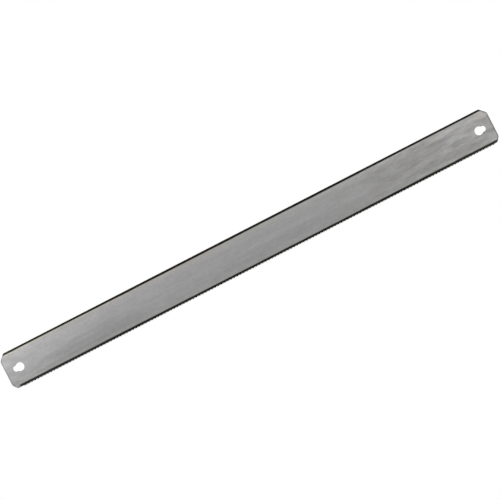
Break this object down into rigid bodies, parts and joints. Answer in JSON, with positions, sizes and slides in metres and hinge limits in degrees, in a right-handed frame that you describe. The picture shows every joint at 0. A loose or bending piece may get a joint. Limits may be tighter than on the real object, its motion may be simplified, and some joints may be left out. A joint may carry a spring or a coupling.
{
  "type": "mitre saw blade",
  "caption": "Straight flat replacement blade for a hand mitre saw or frame saw: fine set teeth along one edge, cut-off corners and a keyhole at each end for a tension pin.",
  "frame": {"origin": "middle of the blade, halfway between the two tension pins and midway through the thickness", "axes": "+X along the blade, the way the teeth lean; +Y through the thickness; +Z across the blade, from the teeth up to the back"},
  "size_m": [0.5588, 0.0014, 0.0398],
  "materials": {
    "blade_steel": "satin"
  },
  "bodies": {
    "root": {"saw_blade": "blade_steel"}
  },
  "joints": []
}
